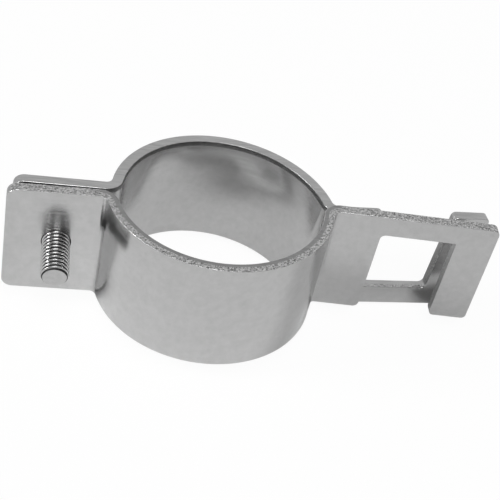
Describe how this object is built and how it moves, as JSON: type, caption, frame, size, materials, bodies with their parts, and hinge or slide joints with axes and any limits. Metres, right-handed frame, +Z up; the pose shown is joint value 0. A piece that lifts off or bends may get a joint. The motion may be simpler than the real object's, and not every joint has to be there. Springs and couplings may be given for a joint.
{
  "type": "post clamp",
  "caption": "Two-part clamp of bent steel strip that closes round a sign post with a screw through its ears and carries a barrier boom on its hooked arms.",
  "frame": {"origin": "axis of the front half's arc, halfway up its strip", "axes": "+Z up along the post, +X from the ears to the hooked arms, -Y to the front half's side"},
  "size_m": [0.1437, 0.0627, 0.0415],
  "materials": {
    "plated_strip": "bright zinc plated, rolled faces smooth, sheared edges duller",
    "plated_screw": "bright zinc plated"
  },
  "bodies": {
    "root": {"front_half": "plated_strip", "rear_half": "plated_strip", "clamp_screw": "plated_screw"}
  },
  "joints": []
}
